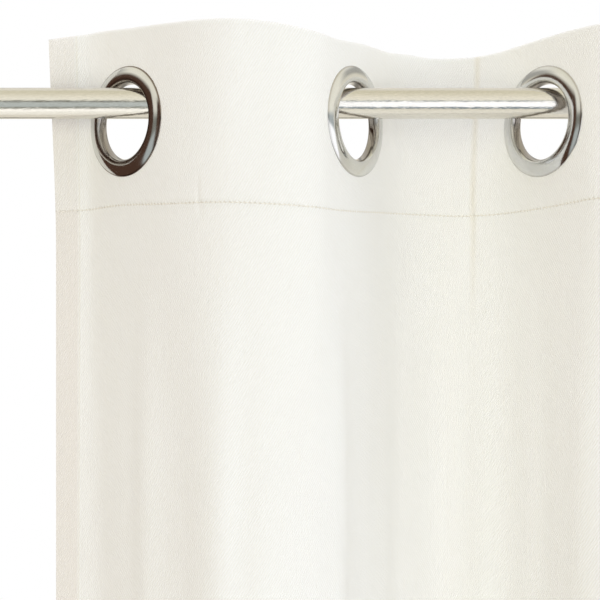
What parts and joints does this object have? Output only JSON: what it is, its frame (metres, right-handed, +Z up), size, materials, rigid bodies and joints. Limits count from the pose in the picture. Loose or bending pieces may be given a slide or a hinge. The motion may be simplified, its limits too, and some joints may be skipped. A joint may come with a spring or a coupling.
{
  "type": "eyelet curtain on a wall-mounted rod",
  "caption": "Cotton eyelet curtain panel that gathers in folds along a round metal rod, held off the wall by two brackets, with ball finials.",
  "frame": {"origin": "on the wall, level with the rod's axis, halfway between the two wall plates: the centre of the four screw holes", "axes": "+X along the rod to the end where the curtain is fixed, +Y into the wall, so the room is at -Y, +Z up"},
  "size_m": [1.284, 0.143, 1.37],
  "materials": {
    "cloth": "off-white cotton twill, matt",
    "header_tape": "stiff white woven header tape",
    "eyelet_nickel": "polished nickel plate",
    "rod_steel": "satin steel, brushed along its length",
    "bracket_steel": "satin steel",
    "screw_steel": "dark plain steel"
  },
  "bodies": {
    "root": {"rod": "rod_steel", "rod_cup_left": "bracket_steel", "rod_cup_right": "bracket_steel", "cup_grub_screws": "screw_steel", "bracket_arm_left": "bracket_steel", "bracket_arm_right": "bracket_steel", "arm_studs": "screw_steel", "wall_plate_left": "bracket_steel", "wall_plate_right": "bracket_steel", "finial_left": "bracket_steel", "finial_right": "bracket_steel", "finial_grub_screws": "screw_steel"},
    "panel_1": {"top_hem_1": "cloth", "header_tape_1": "header_tape", "eyelet_front_1": "eyelet_nickel", "eyelet_back_1": "eyelet_nickel", "curtain_strips_1": "cloth"},
    "panel_2": {"top_hem_2": "cloth", "header_tape_2": "header_tape", "eyelet_front_2": "eyelet_nickel", "eyelet_back_2": "eyelet_nickel", "curtain_strips_2": "cloth"},
    "panel_3": {"top_hem_3": "cloth", "header_tape_3": "header_tape", "eyelet_front_3": "eyelet_nickel", "eyelet_back_3": "eyelet_nickel", "curtain_strips_3": "cloth"},
    "panel_4": {"top_hem_4": "cloth", "header_tape_4": "header_tape", "eyelet_front_4": "eyelet_nickel", "eyelet_back_4": "eyelet_nickel", "curtain_strips_4": "cloth"},
    "panel_5": {"top_hem_5": "cloth", "header_tape_5": "header_tape", "eyelet_front_5": "eyelet_nickel", "eyelet_back_5": "eyelet_nickel", "curtain_strips_5": "cloth"},
    "panel_6": {"top_hem_6": "cloth", "header_tape_6": "header_tape", "eyelet_front_6": "eyelet_nickel", "eyelet_back_6": "eyelet_nickel", "curtain_strips_6": "cloth"},
    "panel_7": {"top_hem_7": "cloth", "header_tape_7": "header_tape", "eyelet_front_7": "eyelet_nickel", "eyelet_back_7": "eyelet_nickel", "curtain_strips_7": "cloth"},
    "panel_8": {"top_hem_8": "cloth", "header_tape_8": "header_tape", "eyelet_front_8": "eyelet_nickel", "eyelet_back_8": "eyelet_nickel", "curtain_strips_8": "cloth"}
  },
  "joints": [
    {"name": "draw_curtain", "type": "hinge", "parent": "root", "child": "panel_8", "pos_m": [0.54, -0.1, 0], "axis": [0, 0, 1], "range_deg": [0, 25]},
    {"name": "fold_line_7", "type": "hinge", "parent": "panel_8", "child": "panel_7", "pos_m": [0.488, -0.142, 0], "axis": [0, 0, -1], "range_deg": [0, 50]},
    {"name": "fold_line_6", "type": "hinge", "parent": "panel_7", "child": "panel_6", "pos_m": [0.38, -0.057, 0], "axis": [0, 0, 1], "range_deg": [0, 50]},
    {"name": "fold_line_5", "type": "hinge", "parent": "panel_6", "child": "panel_5", "pos_m": [0.274, -0.141, 0], "axis": [0, 0, -1], "range_deg": [0, 50]},
    {"name": "fold_line_4", "type": "hinge", "parent": "panel_5", "child": "panel_4", "pos_m": [0.166, -0.055, 0], "axis": [0, 0, 1], "range_deg": [0, 50]},
    {"name": "fold_line_3", "type": "hinge", "parent": "panel_4", "child": "panel_3", "pos_m": [0.055, -0.14, 0], "axis": [0, 0, -1], "range_deg": [0, 50]},
    {"name": "fold_line_2", "type": "hinge", "parent": "panel_3", "child": "panel_2", "pos_m": [-0.047, -0.056, 0], "axis": [0, 0, 1], "range_deg": [0, 50]},
    {"name": "fold_line_1", "type": "hinge", "parent": "panel_2", "child": "panel_1", "pos_m": [-0.1555, -0.138, 0], "axis": [0, 0, -1], "range_deg": [0, 50]}
  ],
  "couplings": [
    {"joint": "fold_line_7", "follows": "draw_curtain", "ratio": 2},
    {"joint": "fold_line_6", "follows": "draw_curtain", "ratio": 2},
    {"joint": "fold_line_5", "follows": "draw_curtain", "ratio": 2},
    {"joint": "fold_line_4", "follows": "draw_curtain", "ratio": 2},
    {"joint": "fold_line_3", "follows": "draw_curtain", "ratio": 2},
    {"joint": "fold_line_2", "follows": "draw_curtain", "ratio": 2},
    {"joint": "fold_line_1", "follows": "draw_curtain", "ratio": 2}
  ]
}
